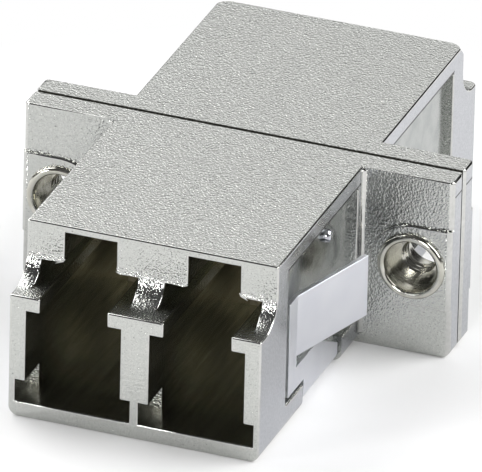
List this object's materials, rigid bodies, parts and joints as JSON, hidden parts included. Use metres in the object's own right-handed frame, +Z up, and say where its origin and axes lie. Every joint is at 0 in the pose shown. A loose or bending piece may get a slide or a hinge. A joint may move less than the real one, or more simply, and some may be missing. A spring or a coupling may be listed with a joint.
{
  "type": "duplex lc fibre adapter",
  "caption": "Metal duplex fibre adapter: a stepped die-cast block with twin latch sockets at each end, a screw flange in the middle and a snap-in spring clip.",
  "frame": {"origin": "centre of the base, under the plane where the two housing halves meet", "axes": "+Y from the clip side to the plain side, along the plugs; +Z up, towards the latch slots; +X to the right seen from the clip side"},
  "size_m": [0.022, 0.0298, 0.0094],
  "materials": {
    "nickel_zinc": "nickel-plated zinc die casting, satin with a fine cast grain",
    "spring_steel": "bright rolled spring steel, satin",
    "turned_nickel": "nickel-plated turned brass, polished",
    "holder_plastic": "moulded black plastic, satin",
    "zirconia": "ground zirconia ceramic, glossy white"
  },
  "bodies": {
    "root": {"front_housing": "nickel_zinc", "rear_housing": "nickel_zinc", "front_sleeve_holder": "holder_plastic", "rear_sleeve_holder": "holder_plastic", "spring_clip": "spring_steel", "left_threaded_bush": "turned_nickel", "right_threaded_bush": "turned_nickel", "left_split_sleeve": "zirconia", "right_split_sleeve": "zirconia"}
  },
  "joints": []
}
